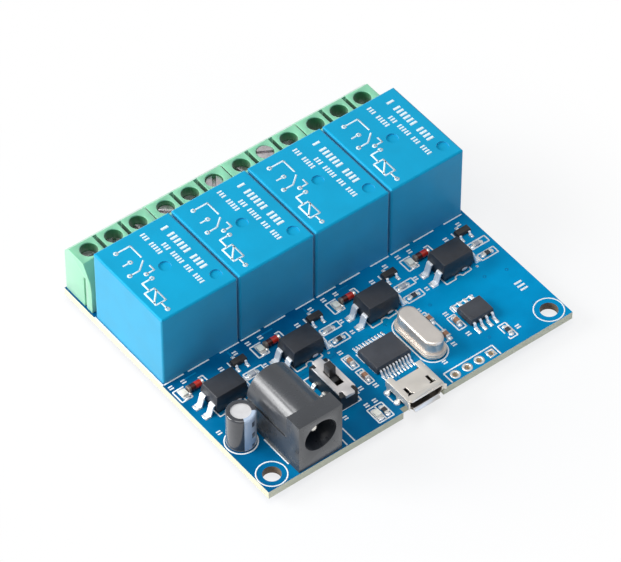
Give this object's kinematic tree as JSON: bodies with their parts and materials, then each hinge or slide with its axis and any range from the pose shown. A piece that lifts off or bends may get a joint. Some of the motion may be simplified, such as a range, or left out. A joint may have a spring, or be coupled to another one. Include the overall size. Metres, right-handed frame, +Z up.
{
  "type": "relay module board",
  "caption": "Relay module board: sealed relays and screw terminals along the rear, optocoupler stages, barrel jack, slide switch and micro-USB socket in front.",
  "frame": {"origin": "under the middle of the module, level with the tips of the soldered leads it stands on", "axes": "+X along the front edge from the barrel jack towards the controller chip, +Y from the sockets to the screw terminals, +Z up out of the component side"},
  "size_m": [0.064, 0.0578, 0.0186],
  "materials": {
    "board": "gloss",
    "relay_blue": "gloss",
    "relay_base_blue": "gloss",
    "terminal_green": "satin",
    "clamp_metal": "satin",
    "screw_metal": "satin",
    "jack_plastic": "satin",
    "contact_metal": "satin",
    "black_plastic": "satin",
    "sheet_metal": "satin",
    "sleeve_film": "gloss",
    "can_aluminium": "satin",
    "bung_rubber": "matte",
    "tinned_metal": "gloss",
    "chip_epoxy": "matte",
    "diode_glass": "gloss",
    "led_resin": "gloss",
    "resistor_black": "matte",
    "ceramic_tan": "matte"
  },
  "bodies": {
    "module": {"circuit_board": "board", "relay_cover_1": "relay_blue", "relay_cover_2": "relay_blue", "relay_cover_3": "relay_blue", "relay_cover_4": "relay_blue", "relay_bases": "relay_base_blue", "relay_pins": "tinned_metal", "terminal_housing_1": "terminal_green", "terminal_housing_2": "terminal_green", "terminal_housing_3": "terminal_green", "terminal_housing_4": "terminal_green", "terminal_clamps_1": "clamp_metal", "terminal_clamps_2": "clamp_metal", "terminal_clamps_3": "clamp_metal", "terminal_clamps_4": "clamp_metal", "jack_housing": "jack_plastic", "jack_centre_pin": "contact_metal", "jack_springs": "contact_metal", "switch_body": "black_plastic", "switch_frame": "sheet_metal", "switch_pins": "tinned_metal", "usb_shell": "sheet_metal", "usb_tongue": "black_plastic", "usb_contacts": "contact_metal", "crystal_can": "sheet_metal", "crystal_base": "clamp_metal", "capacitor_sleeve": "sleeve_film", "capacitor_can": "can_aluminium", "capacitor_bung": "bung_rubber", "capacitor_leads": "tinned_metal", "optocoupler_1": "chip_epoxy", "optocoupler_2": "chip_epoxy", "optocoupler_3": "chip_epoxy", "optocoupler_4": "chip_epoxy", "optocoupler_leads": "tinned_metal", "bridge_chip": "chip_epoxy", "bridge_leads": "tinned_metal", "controller_chip": "chip_epoxy", "controller_leads": "tinned_metal", "transistors": "chip_epoxy", "transistor_leads": "tinned_metal", "diodes": "diode_glass", "indicator_leds": "led_resin", "resistors": "resistor_black", "ceramic_capacitors": "ceramic_tan", "solder_joints": "tinned_metal"},
    "switch_lever": {"switch_lever": "black_plastic"},
    "terminal_screw_1": {"terminal_screw_1": "screw_metal"},
    "terminal_screw_2": {"terminal_screw_2": "screw_metal"},
    "terminal_screw_3": {"terminal_screw_3": "screw_metal"},
    "terminal_screw_4": {"terminal_screw_4": "screw_metal"},
    "terminal_screw_5": {"terminal_screw_5": "screw_metal"},
    "terminal_screw_6": {"terminal_screw_6": "screw_metal"},
    "terminal_screw_7": {"terminal_screw_7": "screw_metal"},
    "terminal_screw_8": {"terminal_screw_8": "screw_metal"},
    "terminal_screw_9": {"terminal_screw_9": "screw_metal"},
    "terminal_screw_10": {"terminal_screw_10": "screw_metal"},
    "terminal_screw_11": {"terminal_screw_11": "screw_metal"},
    "terminal_screw_12": {"terminal_screw_12": "screw_metal"}
  },
  "joints": [
    {"name": "switch_lever_slide", "type": "slide", "parent": "module", "child": "switch_lever", "axis": [0, 1, 0], "range_m": [-0.002, 0]},
    {"name": "terminal_screw_1_travel", "type": "slide", "parent": "module", "child": "terminal_screw_1", "axis": [0, 0, 1], "range_m": [-0.00139, 0.00186]},
    {"name": "terminal_screw_2_travel", "type": "slide", "parent": "module", "child": "terminal_screw_2", "axis": [0, 0, 1], "range_m": [-0.00139, 0.00186]},
    {"name": "terminal_screw_3_travel", "type": "slide", "parent": "module", "child": "terminal_screw_3", "axis": [0, 0, 1], "range_m": [-0.00129, 0.00196]},
    {"name": "terminal_screw_4_travel", "type": "slide", "parent": "module", "child": "terminal_screw_4", "axis": [0, 0, 1], "range_m": [-0.00211, 0.00114]},
    {"name": "terminal_screw_5_travel", "type": "slide", "parent": "module", "child": "terminal_screw_5", "axis": [0, 0, 1], "range_m": [-0.00119, 0.00206]},
    {"name": "terminal_screw_6_travel", "type": "slide", "parent": "module", "child": "terminal_screw_6", "axis": [0, 0, 1], "range_m": [-0.00281, 0.00044]},
    {"name": "terminal_screw_7_travel", "type": "slide", "parent": "module", "child": "terminal_screw_7", "axis": [0, 0, 1], "range_m": [-0.00139, 0.00186]},
    {"name": "terminal_screw_8_travel", "type": "slide", "parent": "module", "child": "terminal_screw_8", "axis": [0, 0, 1], "range_m": [-0.0032, 0.00005]},
    {"name": "terminal_screw_9_travel", "type": "slide", "parent": "module", "child": "terminal_screw_9", "axis": [0, 0, 1], "range_m": [-0.00129, 0.00196]},
    {"name": "terminal_screw_10_travel", "type": "slide", "parent": "module", "child": "terminal_screw_10", "axis": [0, 0, 1], "range_m": [0, 0.00325]},
    {"name": "terminal_screw_11_travel", "type": "slide", "parent": "module", "child": "terminal_screw_11", "axis": [0, 0, 1], "range_m": [0, 0.00325]},
    {"name": "terminal_screw_12_travel", "type": "slide", "parent": "module", "child": "terminal_screw_12", "axis": [0, 0, 1], "range_m": [0, 0.00325]}
  ]
}
